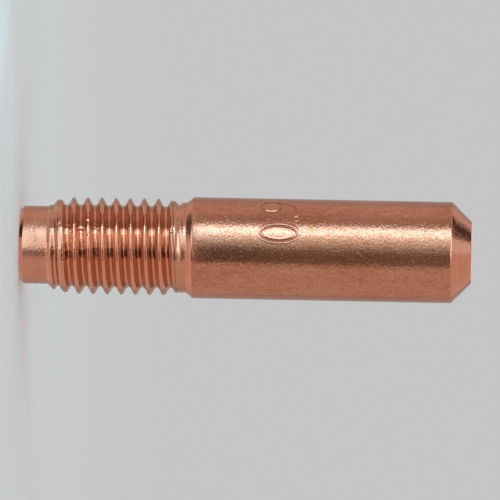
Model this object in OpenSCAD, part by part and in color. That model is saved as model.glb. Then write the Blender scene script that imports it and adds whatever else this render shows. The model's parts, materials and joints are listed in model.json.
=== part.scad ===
// Welding contact tip: one piece of copper, turned from bar, with a rolled thread and a drilled wire bore.
// The axis is Z. The rear face stands on Z = 0, the thread follows it, and the nose points up.
// All sizes are in millimetres.

/* [Body] */
// Length from the rear face to the nose face
tip_len = 29; // [24:0.5:40]
// Diameter of the plain body
body_d = 6.5; // [6.4:0.1:8]
// Leg of the 45 degree chamfer at the nose
nose_chamfer = 1.27; // [0.4:0.01:2]

/* [Pilot] */
// Diameter of the plain pilot that enters the holder first
pilot_d = 5; // [4.5:0.05:5.2]
// Length of the pilot, from the rear face to the thread
pilot_len = 1.8; // [1:0.1:4]
// Edge break round the rear face
pilot_edge = 0.25; // [0.1:0.05:0.5]

/* [Thread] */
// Major diameter, over the crests
thread_d = 6.27; // [6:0.01:6.4]
// Threads to the inch
thread_tpi = 28; // [24:1:32]
// Angle between the two flanks of the groove
flank_angle = 60; // [55:1:70]
// Width of the flat on each crest
crest_flat = 0.15; // [0.1:0.01:0.25]
// Width of the flat at the root of the groove
root_flat = 0.16; // [0.08:0.01:0.25]
// Length of the thread, from the pilot to the neck
thread_len = 8.5; // [6:0.1:12]
// Diameter at which the first crest leaves the lead-in chamfer
lead_d = 5.72; // [5.3:0.02:6]
// Distance from the pilot to the first full crest
lead_len = 1.65; // [1:0.05:2.5]
// Distance over which the last crests sink to the neck
fade_len = 1.1; // [0.6:0.05:2]
// Angle about the axis at which the groove starts
thread_start_angle = -90; // [-180:5:180]

/* [Neck] */
// Diameter of the plain neck between thread and shoulder
neck_d = 5.8; // [5.6:0.05:6.1]
// Length of the neck
neck_len = 0.4; // [0.3:0.05:1.5]
// Length of the conical shoulder that joins the neck to the body
shoulder_len = 0.42; // [0.2:0.02:1]

/* [Wire bore] */
// Diameter of the welding wire
wire_d = 0.9; // [0.6:0.1:1.6]
// Clearance between the wire and the bore, on the diameter
wire_clearance = 0.2; // [0.1:0.02:0.4]
// Diameter of the wire's lead-in cone at the rear face
mouth_d = 2.6; // [2.2:0.1:3.2]
// Angle across the lead-in cone
mouth_angle = 60; // [40:5:90]
// Edge break round the bore at the nose
nose_edge = 0.1; // [0.05:0.05:0.3]

/* [Hidden] */

copper = [0.82, 0.52, 0.4];
inch = 25.4;
$fn = 96;

body_r = body_d / 2;
pilot_r = pilot_d / 2;
neck_r = neck_d / 2;
lead_r = lead_d / 2;
bore_d = wire_d + wire_clearance;

// Stations along the axis, from the rear face to the nose
thread_z = pilot_len;
lead_z = thread_z + lead_r - pilot_r;
full_crest_z = thread_z + lead_len;
neck_z = thread_z + thread_len;
fade_z = neck_z - fade_len;
shoulder_z = neck_z + neck_len;
body_z = shoulder_z + shoulder_len;
nose_z = tip_len - nose_chamfer;

// The groove is a trapezium that follows a right-hand helix. Its open side stands outside the crests.
// It starts clear of the thread, behind the lead-in, and grows shallow over its last turn, on the neck.
pitch = inch / thread_tpi;
crest_r = thread_d / 2;
flank_slope = tan(flank_angle / 2);
thread_depth = (pitch - crest_flat - root_flat) / 2 / flank_slope;
root_r = crest_r - thread_depth;
groove_margin = 0.05;
groove_top_r = max(crest_r, neck_r) + groove_margin;
runout_r = neck_r + groove_margin / 2;
groove_start_z = thread_z - pitch / 2;
groove_end_z = shoulder_z - root_flat;
groove_turns = (groove_end_z - groove_start_z) / pitch;
runout_turns = 1;
steps_per_turn = 40;
groove_steps = ceil(groove_turns * steps_per_turn);

// A small overlap, so that a cut passes clean through the face that it opens
cut_over = 0.5;

// Radius of the groove's root after a number of turns
function groove_root_r(turn) =
    let (gone = max(0, 1 - (groove_turns - turn) / runout_turns))
    root_r + (runout_r - root_r) * gone * gone;

// The four corners of the groove's section after a number of turns
function groove_section(turn) =
    let (
        root = groove_root_r(turn),
        half_root = root_flat / 2,
        half_top = half_root + (groove_top_r - root) * flank_slope,
        angle = thread_start_angle + 360 * turn,
        z = groove_start_z + pitch * turn,
        corners = [[root, -half_root], [root, half_root], [groove_top_r, half_top], [groove_top_r, -half_top]]
    )
    [for (c = corners) [c[0] * cos(angle), c[0] * sin(angle), z + c[1]]];

// Closed tube through a list of four-cornered sections, each quad split into two triangles
module swept_tube(sections) {
    sides = 4;
    last = len(sections) - 1;
    points = [for (s = sections) each s];
    walls = [
        for (i = [0 : last - 1], k = [0 : sides - 1])
            let (a = i * sides + k, b = i * sides + (k + 1) % sides)
            each [[a, a + sides, b + sides], [a, b + sides, b]]
    ];
    start_cap = [for (k = [0 : sides - 1]) k];
    end_cap = [for (k = [sides - 1 : -1 : 0]) last * sides + k];
    polyhedron(points, concat([start_cap], walls, [end_cap]), convexity = 12);
}

module thread_groove() {
    swept_tube([for (i = [0 : groove_steps]) groove_section(groove_turns * i / groove_steps)]);
}

// The turned form before the thread and the bore: pilot, lead-in, crests, neck, shoulder, body and nose
module turned_blank() {
    rotate_extrude()
        polygon([
            [0, 0],
            [pilot_r - pilot_edge, 0],
            [pilot_r, pilot_edge],
            [pilot_r, thread_z],
            [lead_r, lead_z],
            [crest_r, full_crest_z],
            [crest_r, fade_z],
            [neck_r, neck_z],
            [neck_r, shoulder_z],
            [body_r, body_z],
            [body_r, nose_z],
            [body_r - nose_chamfer, tip_len],
            [0, tip_len]
        ]);
}

// The wire's path: a lead-in cone at the rear, a straight bore, and a broken edge at the nose
module wire_bore() {
    cone_len = (mouth_d - bore_d) / 2 / tan(mouth_angle / 2);
    cone_over_d = 2 * cut_over * tan(mouth_angle / 2);
    translate([0, 0, -cut_over])
        cylinder(d = bore_d, h = tip_len + 2 * cut_over);
    translate([0, 0, -cut_over])
        cylinder(d1 = mouth_d + cone_over_d, d2 = bore_d, h = cone_len + cut_over);
    translate([0, 0, tip_len - nose_edge])
        cylinder(d1 = bore_d, d2 = bore_d + 2 * (nose_edge + cut_over), h = nose_edge + cut_over);
}

module contact_tip() {
    color(copper)
        difference() {
            turned_blank();
            thread_groove();
            wire_bore();
        }
}

contact_tip();
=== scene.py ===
import json
from math import cos, pi, radians, sin, tan, tau

import bmesh
import bpy
from mathutils import Matrix, Vector


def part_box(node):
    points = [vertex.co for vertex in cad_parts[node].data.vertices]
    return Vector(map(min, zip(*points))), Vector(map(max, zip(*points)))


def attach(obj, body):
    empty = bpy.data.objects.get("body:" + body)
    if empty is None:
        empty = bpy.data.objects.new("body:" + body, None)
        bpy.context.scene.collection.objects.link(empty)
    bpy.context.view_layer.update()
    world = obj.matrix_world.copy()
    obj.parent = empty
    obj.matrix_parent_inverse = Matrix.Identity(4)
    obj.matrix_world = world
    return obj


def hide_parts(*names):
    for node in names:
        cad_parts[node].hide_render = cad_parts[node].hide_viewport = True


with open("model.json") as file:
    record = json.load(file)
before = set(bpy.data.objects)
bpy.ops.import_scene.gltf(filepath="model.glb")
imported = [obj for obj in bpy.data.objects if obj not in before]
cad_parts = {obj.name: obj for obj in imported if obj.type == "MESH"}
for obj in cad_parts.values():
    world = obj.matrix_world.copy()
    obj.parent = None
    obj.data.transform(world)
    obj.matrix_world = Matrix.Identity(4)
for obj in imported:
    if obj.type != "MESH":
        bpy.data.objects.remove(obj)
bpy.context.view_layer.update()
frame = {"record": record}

# Drawn bar: the plain body between the shoulder and the nose.
# It is copper rod, drawn to size and skimmed in the lathe, so its skin is satin and finely grained.
# Tips that lie loose in a box scuff each other, which leaves the short scratches.
MM = 0.001
far_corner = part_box("contact_tip")[1]
tip_len = far_corner.z
body_r = far_corner.x


def put(tree, kind, inputs=None, **settings):
    """Adds a node. Each input is a value, or another node's output to link."""
    made = tree.nodes.new(kind)
    for name, value in settings.items():
        setattr(made, name, value)
    for key, value in (inputs or {}).items():
        if isinstance(value, bpy.types.NodeSocket):
            tree.links.new(value, made.inputs[key])
        else:
            made.inputs[key].default_value = value
    return made


def calc(tree, operation, a, b=0.0, c=0.0):
    """The result of one step of arithmetic."""
    return put(tree, "ShaderNodeMath", {0: a, 1: b, 2: c}, operation=operation).outputs[0]


def span(tree, value, low_in, high_in, low_out=0.0, high_out=1.0, kind="LINEAR"):
    """Maps one range of values to another and holds it at both ends."""
    source = {"Value": value, "From Min": low_in, "From Max": high_in}
    target = {"To Min": low_out, "To Max": high_out}
    made = put(tree, "ShaderNodeMapRange", source | target, clamp=True, interpolation_type=kind)
    return made.outputs["Result"]


def weighted(tree, *terms, base=0.0):
    """The sum of some values, each times its own weight."""
    total = base
    for value, weight in terms:
        total = calc(tree, "MULTIPLY_ADD", value, weight, total)
    return total


def mixed(tree, share, first, second):
    """A colour on the way from the first to the second."""
    return put(tree, "ShaderNodeMix", {0: share, 6: first, 7: second}, data_type="RGBA").outputs[2]


def new_tree(name, kind, inputs, outputs):
    """Makes a node group with named sockets and returns it with its input and output nodes."""
    tree = bpy.data.node_groups.new(name, kind)
    for socket_name, socket_type, value in inputs:
        socket = tree.interface.new_socket(socket_name, in_out="INPUT", socket_type=socket_type)
        if value is not None:
            socket.default_value = value
    for socket_name, socket_type in outputs:
        tree.interface.new_socket(socket_name, in_out="OUTPUT", socket_type=socket_type)
    return tree, tree.nodes.new("NodeGroupInput").outputs, tree.nodes.new("NodeGroupOutput").inputs


def in_millimetres(tree):
    """The X, Y and Z of a point of the tip."""
    spot = put(tree, "ShaderNodeTexCoord").outputs["Object"]
    scaled = put(tree, "ShaderNodeVectorMath", {0: spot, "Scale": 1 / MM}, operation="SCALE").outputs[0]
    return put(tree, "ShaderNodeSeparateXYZ", {0: scaled}).outputs


# Grain of one size in millimetres, drawn out along the axis by the stretch
grain, given, result = new_tree(
    "grain",
    "ShaderNodeTree",
    [
        ("Size", "NodeSocketFloat", 0.1),
        ("Stretch", "NodeSocketFloat", 1.0),
        ("Shift", "NodeSocketFloat", 0.0),
    ],
    [("Height", "NodeSocketFloat")],
)
spot = in_millimetres(grain)
cell = put(
    grain,
    "ShaderNodeCombineXYZ",
    {
        "X": calc(grain, "ADD", calc(grain, "DIVIDE", spot["X"], given["Size"]), given["Shift"]),
        "Y": calc(grain, "DIVIDE", spot["Y"], given["Size"]),
        "Z": calc(grain, "DIVIDE", spot["Z"], calc(grain, "MULTIPLY", given["Size"], given["Stretch"])),
    },
).outputs[0]
noise = put(grain, "ShaderNodeTexNoise", {"Vector": cell, "Scale": 1.0, "Detail": 1.0, "Roughness": 0.4})
grain.links.new(noise.outputs["Fac"], result["Height"])


def grained(tree, size, stretch=1.0, shift=0.0):
    """The height of a grain. A shift of its own keeps it from matching another one."""
    inputs = {"Size": size, "Stretch": stretch, "Shift": shift}
    return put(tree, "ShaderNodeGroup", inputs, node_tree=grain).outputs["Height"]


# Short straight scratches on the round of the body, all at one lean from the axis
scuffs, given, result = new_tree(
    "scuffs",
    "ShaderNodeTree",
    [
        ("Lean", "NodeSocketFloat", 0.5),
        ("Width", "NodeSocketFloat", 0.06),
        ("Length", "NodeSocketFloat", 0.6),
        ("Rarity", "NodeSocketFloat", 0.85),
        ("Softness", "NodeSocketFloat", 0.08),
    ],
    [("Mask", "NodeSocketFloat")],
)
spot = in_millimetres(scuffs)
round_way = calc(scuffs, "MULTIPLY", calc(scuffs, "ARCTAN2", spot["Y"], spot["X"]), body_r / MM)
cos_lean, sin_lean = (calc(scuffs, operation, given["Lean"]) for operation in ("COSINE", "SINE"))
along = calc(scuffs, "MULTIPLY_ADD", spot["Z"], cos_lean, calc(scuffs, "MULTIPLY", round_way, sin_lean))
drop = calc(scuffs, "MULTIPLY", spot["Z"], sin_lean)
aside = calc(scuffs, "SUBTRACT", calc(scuffs, "MULTIPLY", round_way, cos_lean), drop)
cell = put(
    scuffs,
    "ShaderNodeCombineXYZ",
    {
        "X": calc(scuffs, "DIVIDE", along, given["Length"]),
        "Y": calc(scuffs, "DIVIDE", aside, given["Width"]),
    },
).outputs[0]
noise = put(
    scuffs,
    "ShaderNodeTexNoise",
    {"Vector": cell, "Scale": 1.0, "Detail": 0.0},
    noise_dimensions="2D",
)
whole_scratch = calc(scuffs, "ADD", given["Rarity"], given["Softness"])
scuffs.links.new(span(scuffs, noise.outputs["Fac"], given["Rarity"], whole_scratch), result["Mask"])


def scuffed(tree, lean, width, length, rarity):
    """Where the scratches of one lean lie."""
    inputs = {"Lean": lean, "Width": width, "Length": length, "Rarity": rarity}
    return put(tree, "ShaderNodeGroup", inputs, node_tree=scuffs).outputs["Mask"]


def new_copper(name):
    """A bare metal material, with its node tree."""
    material = bpy.data.materials.new(name)
    material.use_nodes = True
    tree = material.node_tree
    tree.nodes["Principled BSDF"].inputs["Metallic"].default_value = 1.0
    return material, tree


def surface(tree, colour, rough, relief):
    """Gives a finish its colour, its roughness and its relief in millimetres."""
    shader = tree.nodes["Principled BSDF"].inputs
    bump = put(tree, "ShaderNodeBump", {"Distance": MM, "Height": relief})
    for output, name in ((colour, "Base Color"), (rough, "Roughness"), (bump.outputs[0], "Normal")):
        tree.links.new(output, shader[name])


clean_bar = (0.79, 0.34, 0.212, 1)
dull_bar = (0.53, 0.155, 0.076, 1)
stamped_brown = (0.38, 0.11, 0.052, 1)
bar_finish, tree = new_copper("drawn copper")
patches = span(tree, grained(tree, size=1.3, stretch=4.0), 0.35, 0.68)
streaks = grained(tree, size=0.2, stretch=30.0, shift=3.0)
specks = grained(tree, size=0.15, stretch=0.75, shift=7.0)
scratches = calc(
    tree,
    "ADD",
    scuffed(tree, lean=0.6, width=0.07, length=0.6, rarity=0.87),
    scuffed(tree, lean=-0.9, width=0.06, length=0.5, rarity=0.88),
)
smears = span(tree, grained(tree, size=0.2, stretch=4.0, shift=5.0), 0.3, 0.7)
pits = span(tree, grained(tree, size=0.13, shift=61.0), 0.58, 0.74)
dull = weighted(tree, (smears, 0.3), (patches, 0.2), (span(tree, specks, 0.3, 0.7), 0.5))
in_line = put(tree, "ShaderNodeAttribute", attribute_name="stamped").outputs["Fac"]
colour = mixed(tree, dull, clean_bar, dull_bar)
colour = mixed(tree, weighted(tree, (in_line, 0.6)), colour, stamped_brown)
rough = weighted(tree, (specks, 0.1), base=0.15)
relief = weighted(tree, (streaks, 0.002), (specks, 0.011), (pits, -0.005), (scratches, -0.005))
surface(tree, colour, rough, relief)

# Turned rear: the pilot that enters the holder first, the neck beyond the thread and the conical shoulder.
# They are turned down from the bar with a form tool, which leaves a coarser grain than the bar's own skin.
mounts = {mount["name"]: mount for mount in frame["record"]["mounts"]}
pilot_r = mounts["pilot"]["dims"]["r_mm"] * MM
pilot_edge = 0.25 * MM
thread_z = 1.8 * MM
neck_z = thread_z + mounts["thread"]["dims"]["length_mm"] * MM
neck_r = 2.9 * MM
neck_len = 0.4 * MM
shoulder_z = neck_z + neck_len
shoulder_len = 0.42 * MM
body_z = shoulder_z + shoulder_len

turned_light = (0.77, 0.3, 0.187, 1)
turned_dark = (0.7, 0.26, 0.156, 1)
turned_finish, tree = new_copper("turned copper")
specks = grained(tree, size=0.13, stretch=0.8, shift=17.0)
patches = grained(tree, size=0.9, shift=29.0)
colour = mixed(tree, span(tree, patches, 0.35, 0.65), turned_light, turned_dark)
rough = weighted(tree, (specks, 0.14), base=0.18)
surface(tree, colour, rough, weighted(tree, (specks, 0.014)))

# Faced ends: the 45 degree chamfer and the flat of the nose, and the rear face with its broken edge.
# A sharp tool cuts them last, so they are the smoothest surfaces, with faint rings and a little chatter.
nose_chamfer = 1.27 * MM
nose_z = tip_len - nose_chamfer

faced_light = (0.70, 0.27, 0.165, 1)
faced_dark = (0.66, 0.245, 0.147, 1)
faced_finish, tree = new_copper("faced copper")
specks = grained(tree, size=0.13, shift=37.0)
rings = grained(tree, size=3.0, stretch=0.03, shift=41.0)
chatter = grained(tree, size=0.32, shift=43.0)
colour = mixed(tree, span(tree, rings, 0.35, 0.65), faced_light, faced_dark)
rough = weighted(tree, (specks, 0.1), base=0.12)
surface(tree, colour, rough, weighted(tree, (specks, 0.008), (chatter, 0.016)))

# Wire bore: a hole drilled along the axis, which passes the welding current to the wire.
# A countersink leads the wire in at the rear, and a small break at the nose keeps the edge from shaving it.
bore_r = mounts["wire_bore"]["dims"]["r_mm"] * MM
nose_edge = 0.1 * MM
mouth_r = 1.3 * MM
mouth_half_angle = radians(30)
mouth_len = (mouth_r - bore_r) / tan(mouth_half_angle)

bore_light = (0.47, 0.18, 0.105, 1)
bore_dark = (0.40, 0.15, 0.085, 1)
bore_finish, tree = new_copper("drilled copper")
rings = grained(tree, size=1.0, stretch=0.06, shift=23.0)
colour = mixed(tree, span(tree, rings, 0.35, 0.65), bore_light, bore_dark)
surface(tree, colour, weighted(tree, (rings, 0.2), base=0.25), weighted(tree, (rings, 0.01)))

# Turned form: the outline that all these surfaces share, swept round the axis as one sheet.
# The tool's own nose and a tumble in the barrel leave every corner slightly round.
# The thread takes the outline's place between two heights, on the plain pilot and on the plain neck.
rear_join_z = 1.5 * MM
join_margin = 0.01 * MM
front_join_z = shoulder_z - join_margin

# Rows and columns of the mesh stand close together where the figures are stamped.
# The columns are counted from the start of the stamped sector.
stamp_low_z = 15.1 * MM
stamp_high_z = 18.4 * MM
stamp_row = 0.042 * MM
columns = 288
stamp_columns = 128
stamp_start = radians(-168)
stamp_sector = radians(82)

# Corners as radius, height and rounding: along the pilot to the rear face, up the bore, over the nose
# and back along the body to the neck
outline = [
    (pilot_r, rear_join_z, 0),
    (pilot_r, pilot_edge, 0.12 * MM),
    (pilot_r - pilot_edge, 0, 0.12 * MM),
    (mouth_r, 0, 0.05 * MM),
    (bore_r, mouth_len, 0.3 * MM),
    (bore_r, tip_len - nose_edge, 0.04 * MM),
    (bore_r + nose_edge, tip_len, 0.04 * MM),
    (body_r - nose_chamfer, tip_len, 0.14 * MM),
    (body_r, nose_z, 0.2 * MM),
    (body_r, stamp_high_z, 0),
    (body_r, stamp_low_z, 0),
    (body_r, body_z, 0.22 * MM),
    (neck_r, shoulder_z, 0),
    (neck_r, front_join_z, 0),
]


def with_support(corners):
    """Adds a point at twice the rounding on each side of a round corner, so that its shading stays there."""
    points = [corners[0]]
    for near, far in zip(corners, corners[1:]):
        a, b = Vector(near[:2]), Vector(far[:2])
        way = (b - a).normalized()
        near_reach, far_reach = 2 * near[2], 2 * far[2]
        if (b - a).length > near_reach + far_reach:
            points += [(*(a + way * near_reach), 0)] if near_reach else []
            points += [(*(b - way * far_reach), 0)] if far_reach else []
        points.append(far)
    return points


def with_stamp_rows(points):
    """Divides the stamped stretch of the body into close rows."""
    start = points.index((body_r, stamp_high_z, 0))
    count = round((stamp_high_z - stamp_low_z) / stamp_row)
    rows = [(body_r, stamp_high_z - stamp_row * i, 0) for i in range(1, count)]
    return points[: start + 1] + rows + points[start + 1 :]


def add_spline(curve, points):
    """Adds a spline of straight stretches through some points."""
    spline = curve.splines.new("POLY")
    spline.points.add(len(points) - 1)
    for point, place in zip(spline.points, points):
        point.co = (*place, 1)
    return spline


outline_points = with_stamp_rows(with_support(outline))
outline_curve = bpy.data.curves.new("tip_outline", "CURVE")
outline_curve.dimensions = "3D"
outline_spline = add_spline(outline_curve, [(r, 0, z) for r, z, _ in outline_points])
for point, (_, _, rounding) in zip(outline_spline.points, outline_points):
    point.radius = rounding


def round_axis(tree, radius, angle, height):
    """The point at a radius, an angle about the axis and a height."""
    x = calc(tree, "MULTIPLY", radius, calc(tree, "COSINE", angle))
    y = calc(tree, "MULTIPLY", radius, calc(tree, "SINE", angle))
    return put(tree, "ShaderNodeCombineXYZ", {"X": x, "Y": y, "Z": height}).outputs[0]


def wrapped_grid(tree, column_count, row_count):
    """A grid to be bent round the axis, with each point's angle, share of the turn and row number."""
    sizes = {"Vertices X": calc(tree, "ADD", column_count, 1), "Vertices Y": row_count}
    grid = put(tree, "GeometryNodeMeshGrid", sizes)
    index = put(tree, "GeometryNodeInputIndex").outputs[0]
    column = calc(tree, "FLOOR", calc(tree, "DIVIDE", calc(tree, "ADD", index, 0.5), row_count))
    row = calc(tree, "SUBTRACT", index, calc(tree, "MULTIPLY", column, row_count))
    close = calc(tree, "MINIMUM", column, stamp_columns)
    wide = calc(tree, "SUBTRACT", column, close)
    wide_count = calc(tree, "SUBTRACT", column_count, stamp_columns)
    wide_part = calc(tree, "MULTIPLY", calc(tree, "DIVIDE", wide, wide_count), tau - stamp_sector)
    swung = calc(tree, "MULTIPLY_ADD", close, stamp_sector / stamp_columns, wide_part)
    angle = calc(tree, "ADD", swung, stamp_start)
    return grid.outputs["Mesh"], angle, calc(tree, "DIVIDE", swung, tau), row


turned_form, given, result = new_tree(
    "turned form",
    "GeometryNodeTree",
    [
        ("Outline", "NodeSocketGeometry", None),
        ("Columns", "NodeSocketInt", columns),
        ("Corner Steps", "NodeSocketInt", 5),
    ],
    [("Mesh", "NodeSocketGeometry")],
)
corner_size = put(turned_form, "GeometryNodeInputRadius").outputs[0]
rounded = put(
    turned_form,
    "GeometryNodeFilletCurve",
    {"Curve": given["Outline"], "Radius": corner_size, "Count": given["Corner Steps"]},
    mode="POLY",
).outputs[0]
stations = put(
    turned_form, "GeometryNodeCurveToPoints", {"Curve": rounded}, mode="EVALUATED"
).outputs["Points"]
station_count = put(
    turned_form, "GeometryNodeAttributeDomainSize", {"Geometry": stations}, component="POINTCLOUD"
).outputs["Point Count"]
grid, angle, _, row = wrapped_grid(turned_form, given["Columns"], station_count)
place = put(turned_form, "GeometryNodeInputPosition").outputs[0]
station = put(
    turned_form, "GeometryNodeSampleIndex", {"Geometry": stations, "Index": row}, data_type="FLOAT_VECTOR"
)
turned_form.links.new(place, station.inputs["Value"])
section = put(turned_form, "ShaderNodeSeparateXYZ", {0: station.outputs[0]}).outputs
swept_place = round_axis(turned_form, section["X"], angle, section["Z"])
swept = put(turned_form, "GeometryNodeSetPosition", {"Geometry": grid, "Position": swept_place})
turned_form.links.new(swept.outputs[0], result["Mesh"])

# Rolled thread: a right-hand thread of 28 turns to the inch.
# Dies press the roots into the blank and let the crests swell, so that both are round and burnished.
# It tapers where it starts on the pilot, and its groove runs out on the neck.
crest_r = mounts["thread"]["dims"]["r_mm"] * MM
turns_per_inch = 28
pitch = 25.4 * MM / turns_per_inch
crest_flat = 0.15 * MM
root_flat = 0.16 * MM
flank_angle = radians(30)
flank_slope = tan(flank_angle)
root_r = crest_r - (pitch - crest_flat - root_flat) / 2 / flank_slope
lead_r = 2.86 * MM
groove_start_z = thread_z - pitch / 2
groove_end_z = shoulder_z - root_flat
lead_len = 1.65 * MM
full_start_z = thread_z + lead_len
runout_len = 1.1 * MM
full_end_z = neck_z - runout_len

thread_inputs = {
    "Columns": columns,
    "Rows Per Turn": 16,
    "Rear Height": rear_join_z,
    "Front Height": front_join_z,
    "Pitch": pitch,
    "Start Height": groove_start_z,
    "Start Angle": radians(-90),
    "Turns": (groove_end_z - groove_start_z) / pitch,
    "Crest Radius": crest_r,
    "Root Radius": root_r,
    "Root Flat": root_flat,
    "Flank Slope": flank_slope,
    "Root Rounding": 0.03 * MM,
    "Crest Rounding": 0.28 * MM,
    "Pilot Radius": pilot_r,
    "Lead Radius": lead_r,
    "Neck Radius": neck_r,
    "Lead Start": thread_z,
    "Lead End": thread_z + lead_r - pilot_r,
    "Full Start": full_start_z,
    "Full End": full_end_z,
    "Neck Start": neck_z,
    "Runout Lift": 0.3,
    "End Blend": 0.12 * MM,
    "Fold Width": 0.06 * MM,
    "Fold Depth": 0.06 * MM,
    "Fold Blend": 0.2 * MM,
}
whole_numbers = ("Columns", "Rows Per Turn")
rolled_thread, given, result = new_tree(
    "rolled thread",
    "GeometryNodeTree",
    [
        (name, "NodeSocketInt" if name in whole_numbers else "NodeSocketFloat", value)
        for name, value in thread_inputs.items()
    ],
    [("Mesh", "NodeSocketGeometry")],
)


def thread_calc(operation, a, b=0.0, c=0.0):
    """The result of one step of arithmetic in the thread's tree."""
    return calc(rolled_thread, operation, a, b, c)


def taper(start, end, from_r, to_r):
    """How far the blank has grown from one radius to the next, between two heights."""
    growth = thread_calc("SUBTRACT", given[to_r], given[from_r])
    return span(rolled_thread, height, given[start], given[end], 0.0, growth)


# Each row of the grid climbs one pitch in a turn, so that it follows the crest. The ends are cut off level.
length = thread_calc("SUBTRACT", given["Front Height"], given["Rear Height"])
turns_long = thread_calc("CEIL", thread_calc("ADD", thread_calc("DIVIDE", length, given["Pitch"]), 1))
row_count = thread_calc("MULTIPLY_ADD", turns_long, given["Rows Per Turn"], 1)
grid, angle, swing, row = wrapped_grid(rolled_thread, given["Columns"], row_count)
row_turns = thread_calc("SUBTRACT", thread_calc("DIVIDE", row, given["Rows Per Turn"]), 1)
turns_up = thread_calc("ADD", row_turns, swing)
climb = thread_calc("MULTIPLY_ADD", turns_up, given["Pitch"], given["Rear Height"])
height = thread_calc("MINIMUM", thread_calc("MAXIMUM", climb, given["Rear Height"]), given["Front Height"])

# The plain blank before rolling: the pilot, two tapers that swell it, and one that sinks it to the neck
lead_in = taper("Lead Start", "Lead End", "Pilot Radius", "Lead Radius")
swell = taper("Lead End", "Full Start", "Lead Radius", "Crest Radius")
sink = taper("Full End", "Neck Start", "Crest Radius", "Neck Radius")
grown = thread_calc("ADD", given["Pilot Radius"], lead_in)
blank = thread_calc("ADD", grown, thread_calc("ADD", swell, sink))

# Turns of the helix up to this point, and the share of a pitch from the nearest root
about = thread_calc("DIVIDE", thread_calc("SUBTRACT", angle, given["Start Angle"]), tau)
climbed = thread_calc("DIVIDE", thread_calc("SUBTRACT", height, given["Start Height"]), given["Pitch"])
off_root = thread_calc("SUBTRACT", climbed, about)
whole = thread_calc("ROUND", off_root)
share = thread_calc("ABSOLUTE", thread_calc("SUBTRACT", off_root, whole))

# The groove: a root that grows shallow over its last turn, two flanks, and a rounding where they meet.
# It ends above the neck by a share of the crest's rounding, which would otherwise cut into the neck.
last_turn = thread_calc("SUBTRACT", given["Turns"], 1)
shallow = span(rolled_thread, thread_calc("ADD", whole, about), last_turn, given["Turns"])
runout_r = thread_calc("MULTIPLY_ADD", given["Crest Rounding"], given["Runout Lift"], given["Neck Radius"])
rise = thread_calc("SUBTRACT", runout_r, given["Root Radius"])
root = thread_calc("MULTIPLY_ADD", thread_calc("MULTIPLY", shallow, shallow), rise, given["Root Radius"])
half_root = thread_calc("DIVIDE", given["Root Flat"], 2)
beside = thread_calc("SUBTRACT", thread_calc("MULTIPLY", share, given["Pitch"]), half_root)
flank = thread_calc("ADD", root, thread_calc("DIVIDE", beside, given["Flank Slope"]))
groove = thread_calc("SMOOTH_MAX", root, flank, given["Root Rounding"])
rolled = thread_calc("SMOOTH_MIN", blank, groove, given["Crest Rounding"])

# The last crest is not fully formed: the copper from both sides leaves a fold along its middle
off_crest = thread_calc("MULTIPLY", thread_calc("SUBTRACT", 0.5, share), given["Pitch"])
fold = span(rolled_thread, off_crest, 0.0, given["Fold Width"], given["Fold Depth"], 0.0)
fold_start = thread_calc("ADD", given["Full End"], given["Fold Blend"])
fold_end = thread_calc("SUBTRACT", given["Neck Start"], given["Fold Blend"])
unformed = thread_calc(
    "MULTIPLY",
    span(rolled_thread, height, given["Full End"], fold_start),
    span(rolled_thread, height, fold_end, given["Neck Start"], 1.0, 0.0),
)
rolled = thread_calc("SUBTRACT", rolled, thread_calc("MULTIPLY", fold, unformed))

# The roundings fade out at both ends, so that the thread meets the pilot and the neck
rear_blend = thread_calc("ADD", given["Rear Height"], given["End Blend"])
front_blend = thread_calc("SUBTRACT", given["Front Height"], given["End Blend"])
inside = thread_calc(
    "MULTIPLY",
    span(rolled_thread, height, given["Rear Height"], rear_blend),
    span(rolled_thread, height, front_blend, given["Front Height"], 1.0, 0.0),
)
radius = thread_calc("MULTIPLY_ADD", inside, thread_calc("SUBTRACT", rolled, blank), blank)
bent_place = round_axis(rolled_thread, radius, angle, height)
bent = put(rolled_thread, "GeometryNodeSetPosition", {"Geometry": grid, "Position": bent_place})
marked = put(
    rolled_thread,
    "GeometryNodeStoreNamedAttribute",
    {"Geometry": bent.outputs[0], "Name": "from_root", "Value": thread_calc("MULTIPLY", share, 2)},
    data_type="FLOAT",
    domain="POINT",
)
rolled_thread.links.new(marked.outputs[0], result["Mesh"])

plain_flank = (0.665, 0.29, 0.175, 1)
burnished_copper = (0.75, 0.30, 0.185, 1)
# The darkest brown is painted shade, laid into the fold along the last crest
painted_fold_shade = (0.2, 0.06, 0.03, 1)
thread_finish, tree = new_copper("rolled copper")
from_root = put(tree, "ShaderNodeAttribute", attribute_name="from_root").outputs["Fac"]
specks = grained(tree, size=0.12, shift=11.0)
off_flank = calc(tree, "ABSOLUTE", calc(tree, "SUBTRACT", from_root, 0.5))
burnished = span(tree, off_flank, 0.25, 0.38)
colour = mixed(tree, burnished, plain_flank, burnished_copper)
rough = weighted(tree, (specks, 0.08), base=span(tree, burnished, 0.0, 1.0, 0.11, 0.08))

# Painted shade darkens the fold, which starts where the full crests end
height_mm = in_millimetres(tree)["Z"]
past_full = span(tree, height_mm, full_end_z / MM, full_end_z / MM + 0.3)
fold_shade_share = calc(tree, "MULTIPLY", span(tree, from_root, 0.88, 0.97), past_full)
colour = mixed(tree, weighted(tree, (fold_shade_share, 0.7)), colour, painted_fold_shade)

# The first turns bear most in the holder, so they are the most worn and uneven
chatter = grained(tree, size=0.3, shift=47.0)
wear = span(tree, height_mm, 4.3, 6.3, 0.035, 0.006)
surface(tree, colour, rough, weighted(tree, (specks, 0.006), (chatter, wear)))

# Stamped wire size: three figures pressed into the side of the body.
# A roll stamp pushes the copper aside, so each line is a shallow groove with a low lip along both edges.
# The figures are narrow, stand across the axis and give the wire's size.
figure_height = 2.36 * MM
figure_width = 1.04 * MM
figure_base_z = 17.85 * MM
zero_angle = radians(18.5)
point_angle = radians(38.5)
nine_angle = radians(57)
point_r = 0.07 * MM


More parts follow.
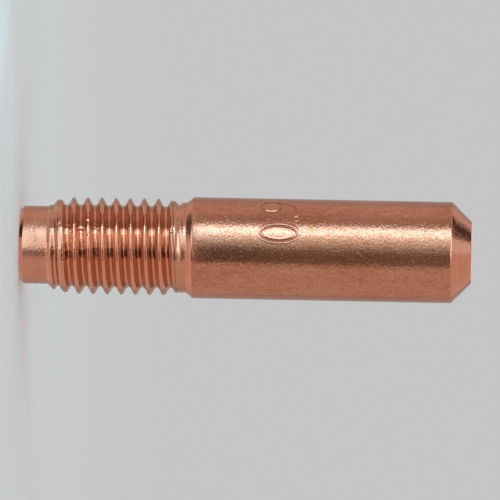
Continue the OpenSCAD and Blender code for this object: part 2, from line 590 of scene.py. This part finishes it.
def placed(name, data):
    """A new object of some data, in the scene."""
    made = bpy.data.objects.new(name, data)
    bpy.context.scene.collection.objects.link(made)
    return made


def oval(centre, half_width, half_height, start=0.0, end=tau, steps=40):
    """Points along an oval, or along a part of it."""
    angles = [start + (end - start) * i / steps for i in range(steps + 1)]
    return [(centre[0] + half_width * cos(a), centre[1] + half_height * sin(a)) for a in angles]


half_width = figure_width / 2
bowl_half = figure_height * 0.28
bowl_middle = figure_height - bowl_half
tail_reach = figure_width * 0.9
strokes = [
    (zero_angle, oval((0, figure_height / 2), half_width, figure_height / 2)),
    (point_angle, oval((0, point_r), point_r, point_r)),
    (nine_angle, oval((0, bowl_middle), half_width, bowl_half)),
    (nine_angle, oval((half_width - tail_reach, bowl_middle), tail_reach, bowl_middle, 0, -pi / 2)),
]
figure_curve = bpy.data.curves.new("stamped_figures", "CURVE")
figure_curve.dimensions = "3D"
for figure_angle, points in strokes:
    add_spline(figure_curve, [(x + figure_angle * body_r, y, 0) for x, y in points])
figures = placed("stamped_figures", figure_curve)


def outward(tree):
    """The direction straight away from the axis."""
    place = put(tree, "GeometryNodeInputPosition").outputs[0]
    flat = put(tree, "ShaderNodeVectorMath", {0: place, 1: (1, 1, 0)}, operation="MULTIPLY").outputs[0]
    return put(tree, "ShaderNodeVectorMath", {0: flat}, operation="NORMALIZE").outputs[0]


def pushed(tree, mesh, distance):
    """The mesh with its points moved away from the axis."""
    way = {0: outward(tree), "Scale": distance}
    offset = put(tree, "ShaderNodeVectorMath", way, operation="SCALE").outputs[0]
    return put(tree, "GeometryNodeSetPosition", {"Geometry": mesh, "Offset": offset}).outputs[0]


stamp, given, result = new_tree(
    "stamp",
    "GeometryNodeTree",
    [
        ("Mesh", "NodeSocketGeometry", None),
        ("Figures", "NodeSocketObject", None),
        ("Body Radius", "NodeSocketFloat", body_r),
        ("Base Height", "NodeSocketFloat", figure_base_z),
        ("Half Stroke", "NodeSocketFloat", 0.095 * MM),
        ("Darkest Share", "NodeSocketFloat", 0.4),
        ("Depth", "NodeSocketFloat", 0.055 * MM),
        ("Lip Height", "NodeSocketFloat", 0.012 * MM),
        ("Lip Width", "NodeSocketFloat", 0.05 * MM),
    ],
    [("Mesh", "NodeSocketGeometry")],
)
drawn = put(stamp, "GeometryNodeObjectInfo", {"Object": given["Figures"]}).outputs["Geometry"]
flat = put(stamp, "ShaderNodeSeparateXYZ", {0: put(stamp, "GeometryNodeInputPosition").outputs[0]}).outputs
turn_angle = calc(stamp, "SUBTRACT", -pi / 2, calc(stamp, "DIVIDE", flat["X"], given["Body Radius"]))
figure_z = calc(stamp, "SUBTRACT", given["Base Height"], flat["Y"])
wrapped_place = round_axis(stamp, given["Body Radius"], turn_angle, figure_z)
wrapped = put(stamp, "GeometryNodeSetPosition", {"Geometry": drawn, "Position": wrapped_place})
lines = put(stamp, "GeometryNodeCurveToMesh", {"Curve": wrapped.outputs[0]}).outputs[0]
near = put(stamp, "GeometryNodeProximity", {0: lines}, target_element="EDGES").outputs["Distance"]
depth = calc(stamp, "MULTIPLY", given["Depth"], -1)
pressed = span(stamp, near, 0.0, given["Half Stroke"], depth, 0.0, "SMOOTHSTEP")
lip_middle = calc(stamp, "ADD", given["Half Stroke"], given["Lip Width"])
off_lip = calc(stamp, "DIVIDE", calc(stamp, "SUBTRACT", near, lip_middle), given["Lip Width"])
lip_fall = calc(stamp, "MULTIPLY", calc(stamp, "MULTIPLY", off_lip, off_lip), -1)
lip_form = calc(stamp, "EXPONENT", lip_fall)
darkest = calc(stamp, "MULTIPLY", given["Half Stroke"], given["Darkest Share"])
lined = put(
    stamp,
    "GeometryNodeStoreNamedAttribute",
    {
        "Geometry": given["Mesh"],
        "Name": "stamped",
        "Value": span(stamp, near, darkest, given["Half Stroke"], 1.0, 0.0),
    },
    data_type="FLOAT",
    domain="POINT",
).outputs[0]
stamped = pushed(stamp, lined, calc(stamp, "MULTIPLY_ADD", lip_form, given["Lip Height"], pressed))
stamp.links.new(stamped, result["Mesh"])

# Knocks: small dents in the thread, where another tip or the edge of a tray has struck it.
# Copper is soft, so each is a shallow round hollow.
# Each is given by its angle in degrees from the -Y side, and its height and distance from the axis in mm.
knock_places = [
    (-46, 4.2, 2.75),
    (25, 3.95, 2.7),
    (14, 4.4, 3.1),
    (8, 3.5, 3.05),
    (30, 4.4, 3.1),
    (48, 5.05, 2.85),
    (20, 9.85, 2.98),
]
knock_points = []
for turned_by, knock_z, knock_r in knock_places:
    knock_angle = -pi / 2 - radians(turned_by)
    knock_points.append(Vector((knock_r * cos(knock_angle), knock_r * sin(knock_angle), knock_z)) * MM)
knock_mesh = bpy.data.meshes.new("knocks")
knock_mesh.from_pydata(knock_points, [], [])
knocks = placed("knocks", knock_mesh)

dents, given, result = new_tree(
    "dents",
    "GeometryNodeTree",
    [
        ("Mesh", "NodeSocketGeometry", None),
        ("Knocks", "NodeSocketObject", None),
        ("Reach", "NodeSocketFloat", 0.2 * MM),
        ("Depth", "NodeSocketFloat", 0.05 * MM),
    ],
    [("Mesh", "NodeSocketGeometry")],
)
struck = put(dents, "GeometryNodeObjectInfo", {"Object": given["Knocks"]}).outputs["Geometry"]
near = put(dents, "GeometryNodeProximity", {0: struck}, target_element="POINTS").outputs["Distance"]
depth = calc(dents, "MULTIPLY", given["Depth"], -1)
hollow = span(dents, near, 0.0, given["Reach"], depth, 0.0, "SMOOTHSTEP")
dents.links.new(pushed(dents, given["Mesh"], hollow), result["Mesh"])

# The finished tip: turned form and thread are one skin, stamped and knocked.
# Each stretch of it keeps the finish of the tool that made it, and it is one solid piece of copper.
whole_tip, given, result = new_tree(
    "contact tip",
    "GeometryNodeTree",
    [
        ("Outline", "NodeSocketGeometry", None),
        ("Figures", "NodeSocketObject", None),
        ("Knocks", "NodeSocketObject", None),
        ("Bar Finish", "NodeSocketMaterial", None),
        ("Turned Finish", "NodeSocketMaterial", None),
        ("Faced Finish", "NodeSocketMaterial", None),
        ("Bore Finish", "NodeSocketMaterial", None),
        ("Thread Finish", "NodeSocketMaterial", None),
    ],
    [("Tip", "NodeSocketGeometry")],
)
edge_slack = 0.02 * MM
weld_distance = 0.002 * MM


def below(value, limit):
    """Where a value is less than a limit."""
    return put(whole_tip, "FunctionNodeCompare", {0: value, 1: limit}, operation="LESS_THAN").outputs[0]


def above(value, limit):
    """Where a value is more than a limit."""
    return put(whole_tip, "FunctionNodeCompare", {0: value, 1: limit}, operation="GREATER_THAN").outputs[0]


def logic(operation, a, b):
    """Where both of two things hold, or either."""
    return put(whole_tip, "FunctionNodeBooleanMath", {0: a, 1: b}, operation=operation).outputs[0]


def coated(mesh, finish, where=True):
    """The mesh with one of the finishes on a part of it."""
    inputs = {"Geometry": mesh, "Selection": where, "Material": given[finish]}
    return put(whole_tip, "GeometryNodeSetMaterial", inputs).outputs[0]


place = put(whole_tip, "GeometryNodeInputPosition").outputs[0]
spot = put(whole_tip, "ShaderNodeSeparateXYZ", {0: place}).outputs
y_squared = calc(whole_tip, "MULTIPLY", spot["Y"], spot["Y"])
off_axis = calc(whole_tip, "SQRT", calc(whole_tip, "MULTIPLY_ADD", spot["X"], spot["X"], y_squared))
in_mouth = logic("AND", below(off_axis, mouth_r), below(spot["Z"], mouth_len))
in_bore = logic("OR", below(off_axis, bore_r + edge_slack), in_mouth)
at_thread = logic("AND", above(spot["Z"], thread_z), below(spot["Z"], neck_z))
at_neck = logic("AND", above(spot["Z"], neck_z), below(spot["Z"], body_z))
at_rear = logic("OR", below(spot["Z"], thread_z), at_neck)
at_ends = logic("OR", above(spot["Z"], nose_z - edge_slack), below(spot["Z"], pilot_edge))

form = put(whole_tip, "GeometryNodeGroup", {"Outline": given["Outline"]}, node_tree=turned_form).outputs[0]
thread = put(whole_tip, "GeometryNodeGroup", node_tree=rolled_thread).outputs[0]
joined = put(whole_tip, "GeometryNodeJoinGeometry")
for stretch in (form, thread):
    whole_tip.links.new(stretch, joined.inputs[0])
seams = {0: joined.outputs[0], "Distance": weld_distance}
skin = put(whole_tip, "GeometryNodeMergeByDistance", seams).outputs[0]
marks = {"Mesh": skin, "Figures": given["Figures"]}
skin = put(whole_tip, "GeometryNodeGroup", marks, node_tree=stamp).outputs[0]
blows = {"Mesh": skin, "Knocks": given["Knocks"]}
skin = put(whole_tip, "GeometryNodeGroup", blows, node_tree=dents).outputs[0]
skin = put(whole_tip, "GeometryNodeSetShadeSmooth", {0: skin}).outputs[0]
skin = put(whole_tip, "GeometryNodeRealizeInstances", {0: skin}).outputs[0]
skin = coated(skin, "Bar Finish")
skin = coated(skin, "Thread Finish", at_thread)
skin = coated(skin, "Turned Finish", at_rear)
skin = coated(skin, "Faced Finish", at_ends)
skin = coated(skin, "Bore Finish", in_bore)
whole_tip.links.new(skin, result["Tip"])

stock = placed("tip_outline", outline_curve)
maker = stock.modifiers.new("contact tip", "NODES")
maker.node_group = whole_tip
for name, value in {
    "Figures": figures,
    "Knocks": knocks,
    "Bar Finish": bar_finish,
    "Turned Finish": turned_finish,
    "Faced Finish": faced_finish,
    "Bore Finish": bore_finish,
    "Thread Finish": thread_finish,
}.items():
    maker[whole_tip.interface.items_tree[name].identifier] = value
evaluated = stock.evaluated_get(bpy.context.evaluated_depsgraph_get())
tip_mesh = bpy.data.meshes.new_from_object(evaluated)
for helper in (stock, figures, knocks):
    bpy.data.objects.remove(helper)
tip = placed("copper_tip", tip_mesh)

# The empty material slot that the grids bring along goes, and every face is turned outwards
tip_mesh.materials.pop(index=tip_mesh.materials[:].index(None))
solid = bmesh.new()
solid.from_mesh(tip_mesh)
bmesh.ops.recalc_face_normals(solid, faces=solid.faces)
solid.to_mesh(tip_mesh)
solid.free()
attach(tip, "root")
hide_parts("contact_tip")

# Studio: a pale backdrop all round, somewhat brighter above and below, and a tall softbox beside the camera.
# The tip mirrors a set of cards: large ones far off, and small ones near its thread, neck and pilot.
# They are plain boards, some lit and some dark. The tip stands on its rear face on a pale round floor.
scene = bpy.context.scene
scene.view_settings.view_transform = "Standard"
backdrop = 0.56
steep_backdrop = 0.68
level_limit = 0.12
steep_limit = 0.6
world = bpy.data.worlds.new("studio")
scene.world = world
world.use_nodes = True
tree = world.node_tree
direction = put(tree, "ShaderNodeTexCoord").outputs["Generated"]
steepness = calc(tree, "ABSOLUTE", put(tree, "ShaderNodeSeparateXYZ", {0: direction}).outputs["Z"])
strength = span(tree, steepness, level_limit, steep_limit, backdrop, steep_backdrop)
tree.links.new(strength, tree.nodes["Background"].inputs["Strength"])
tree.nodes["Background"].inputs["Color"].default_value = (1, 1, 1, 1)

middle = Vector((0, 0, tip_len / 2))


def toward(azimuth, elevation=0.0):
    """Direction from the tip, turned from the camera's side of it towards the frame's upper edge."""
    a, e = radians(azimuth), radians(elevation)
    return Vector((-sin(a) * cos(e), -cos(a) * cos(e), sin(e)))


def stand(out, distance):
    """Where a flat thing stands that faces the tip from a direction."""
    return Matrix.Translation(middle + out * distance) @ out.to_track_quat("Z", "Y").to_matrix().to_4x4()


key_width = 0.112
key_height = 0.26
key_radiance = 3.0
key_azimuth = 42.4
key_distance = 0.3
key_colour = (0.5, 1.03, 1.36)
key_light = bpy.data.lights.new("key_softbox", "AREA")
key_light.shape = "RECTANGLE"
key_light.size = key_width
key_light.size_y = key_height
key_light.energy = key_radiance * pi * key_width * key_height
key_light.color = key_colour
key = placed("key_softbox", key_light)
key.matrix_world = stand(toward(key_azimuth), key_distance)
key.visible_camera = False


def upright(from_azimuth, to_azimuth, distance, low_z, high_z):
    """Corners of an upright card that spans two directions as seen from the tip."""
    a, b = toward(from_azimuth) * distance, toward(to_azimuth) * distance
    return [Vector((p.x, p.y, z)) for p, z in ((a, low_z), (b, low_z), (b, high_z), (a, high_z))]


def level(from_azimuth, to_azimuth, inner, outer, height):
    """Corners of a level card that spans two directions and two distances from the axis."""
    a, b = toward(from_azimuth), toward(to_azimuth)
    return [p + Vector((0, 0, height)) for p in (a * inner, b * inner, b * outer, a * outer)]


def facing(azimuth, elevation, distance, width, height):
    """Corners of a card that faces the tip from a direction."""
    place = stand(toward(azimuth, elevation), distance)
    x, y = width / 2, height / 2
    return [place @ Vector(corner) for corner in ((-x, -y, 0), (x, -y, 0), (x, y, 0), (-x, y, 0))]


def card(name, corners, colour, far_colour=None, ramp_from=0.0):
    """A card that only the metal sees. It may fade to a second colour, from some share of its width on."""
    mesh = bpy.data.meshes.new(name)
    mesh.from_pydata(corners, [], [(0, 1, 2, 3)])
    layer = mesh.uv_layers.new(name="across")
    for loop, uv in zip(layer.data, ((0, 0), (1, 0), (1, 1), (0, 1))):
        loop.uv = uv
    material = bpy.data.materials.new(name)
    material.use_nodes = True
    tree = material.node_tree
    tree.nodes.clear()
    glow = put(tree, "ShaderNodeEmission", {"Color": (*colour, 1)})
    if far_colour:
        uv = put(tree, "ShaderNodeUVMap", uv_map="across").outputs[0]
        across = put(tree, "ShaderNodeSeparateXYZ", {0: uv}).outputs["X"]
        share = span(tree, across, ramp_from, 1.0, kind="SMOOTHSTEP")
        tree.links.new(mixed(tree, share, (*colour, 1), (*far_colour, 1)), glow.inputs["Color"])
    ending = put(tree, "ShaderNodeOutputMaterial")
    tree.links.new(glow.outputs[0], ending.inputs[0])
    mesh.materials.append(material)
    made = placed(name, mesh)
    made.visible_camera = False
    made.visible_diffuse = False
    made.visible_shadow = False


# The cards' colours: the brighter a card is lit, the more it leans to blue, as the softbox does
dim = (0.16, 0.16, 0.15)
bright = (0.96, 1.4, 1.57)
panel = (1.7, 2.6, 3.0)
near_panel = (1.2, 1.85, 2.2)
near_key = (2.2, 5.2, 7.5)
pale = (0.62, 0.62, 0.62)
pilot_top = (0.7, 1.05, 1.25)
shade = (0.06, 0.055, 0.05)
dark = (0.09, 0.09, 0.085)
soft = (0.82, 1.2, 1.34)
dusk = (0.6, 0.66, 0.68)
side_grey = (0.37, 0.37, 0.37)
side_pale = (0.44, 0.44, 0.44)
black = (0.02, 0.02, 0.02)
cap = (0.86, 1.07, 1.17)
back_grey = (0.43, 0.43, 0.43)
back_glow = (0.85, 0.87, 0.9)

# Far off at the front: dim boards round the camera, and lit panels beyond both ends of the tip
far_out = 0.27
gap_low_z = -0.09
gap_high_z = 0.108
card("camera_side", upright(-35, -8, far_out, gap_low_z, gap_high_z), dim)
card("camera_gap", upright(-8, 30, far_out, gap_low_z, gap_high_z), dim, bright)
card("upper_front", upright(-12, 52, far_out, gap_high_z, 0.5), panel)
card("lower_front", upright(-12, 52, far_out, -0.5, gap_low_z), panel)

# Near the thread, where the flanks mirror what stands beside each turn, and near the neck and the shoulder
near_out = 20 * MM
turns_low_z = 2.3 * MM
turns_high_z = 9.3 * MM
neck_low_z = 9.8 * MM
card("thread_flag", upright(-29, 6, 9 * MM, turns_low_z, 9.4 * MM), shade, dusk, 0.42)
card("thread_key", upright(32, 45, near_out, turns_low_z, turns_high_z), near_key)
card("thread_shade", upright(46, 60, near_out, turns_low_z, turns_high_z), side_grey)
card("neck_card", upright(-29, 25, 8 * MM, neck_low_z, 10.7 * MM), pale, near_panel, 0.25)
card("shoulder_gap", upright(-29, 24, near_out, neck_low_z, 14.5 * MM), dark, soft, 0.52)
card("shoulder_side", upright(-44, -31, near_out, neck_low_z, 13.5 * MM), pale)

# Near the pilot, the first turn and the last one
card("pilot_card", upright(-12, 52, 30 * MM, -30 * MM, 2.2 * MM), near_panel, pilot_top, 0.7)
card("lead_card", level(5, 65, 2.5 * MM, 3.6 * MM, 1 * MM), pale)
card("runout_card", level(-15, 75, 5.2 * MM, 9.5 * MM, 10.9 * MM), pale)

# Far off at the side, above, below and behind
flag_out = 0.2
card("upper_side", upright(56, 84, far_out, -0.35, 0.35), side_grey, side_pale)
card("nose_flag", facing(110, 60, flag_out, 0.095, 0.13), black, pale, 0.3)
card("shoulder_flag", facing(97, -63, flag_out, 0.13, 0.125), black)
card("back_card", upright(126, 234, far_out, -0.1, 0.12), back_grey)
card("back_strip", upright(172, 188, 0.14, -0.2, 0.25), back_glow)
card("top_panel", facing(95, 82, flag_out, 0.06, 0.06), cap)

# The floor is pale board round the tip and takes on the backdrop's own brightness further out
floor_r = 5.0
board_r = 0.03
backdrop_r = 0.2
floor_mesh = bpy.data.meshes.new("floor")
floor_form = bmesh.new()
bmesh.ops.create_circle(floor_form, cap_ends=True, segments=96, radius=floor_r)
floor_form.to_mesh(floor_mesh)
floor_form.free()
floor = placed("floor", floor_mesh)
floor.visible_glossy = False
floor.visible_shadow = False
floor_material = bpy.data.materials.new("pale floor")
floor_material.use_nodes = True
tree = floor_material.node_tree
board = tree.nodes["Principled BSDF"]
board.inputs["Base Color"].default_value = (0.84, 0.84, 0.83, 1)
board.inputs["Roughness"].default_value = 0.9
spot = put(tree, "ShaderNodeTexCoord").outputs["Object"]
away = put(tree, "ShaderNodeVectorMath", {0: spot}, operation="LENGTH").outputs["Value"]
glow = put(tree, "ShaderNodeEmission", {"Strength": backdrop})
fade = {0: span(tree, away, board_r, backdrop_r), 1: board.outputs[0], 2: glow.outputs[0]}
blend = put(tree, "ShaderNodeMixShader", fade)
tree.links.new(blend.outputs[0], tree.nodes["Material Output"].inputs[0])
floor_mesh.materials.append(floor_material)

# Camera: square to the tip's side, a little towards its nose, rolled so that the tip lies along the frame.
# It stands far off, so that both ends show at almost the same size.
frame_pixels = 500
pixels_per_mm = 15.57
frame_middle = Vector((frame_pixels, frame_pixels)) / 2
tip_middle = Vector((245.9, 248.7))
axis_roll = radians(1.1)
nose_turn = radians(2)
camera_distance = 0.6
camera_data = bpy.data.cameras.new("camera")
camera_data.sensor_width = 36
camera_data.lens = camera_data.sensor_width * camera_distance / (frame_pixels / pixels_per_mm * MM)
camera_data.clip_start = 0.01
camera_data.clip_end = 10
camera = placed("camera", camera_data)
scene.camera = camera
back = Vector((0, -cos(nose_turn), sin(nose_turn)))
along_tip = Vector((0, sin(nose_turn), cos(nose_turn)))
right = along_tip * cos(axis_roll) + back.cross(along_tip) * sin(axis_roll)
up = back.cross(right)
shift = (frame_middle - tip_middle) / pixels_per_mm * MM
stance = middle + right * shift.x - up * shift.y + back * camera_distance
camera.matrix_world = Matrix.Translation(stance) @ Matrix((right, up, back)).transposed().to_4x4()
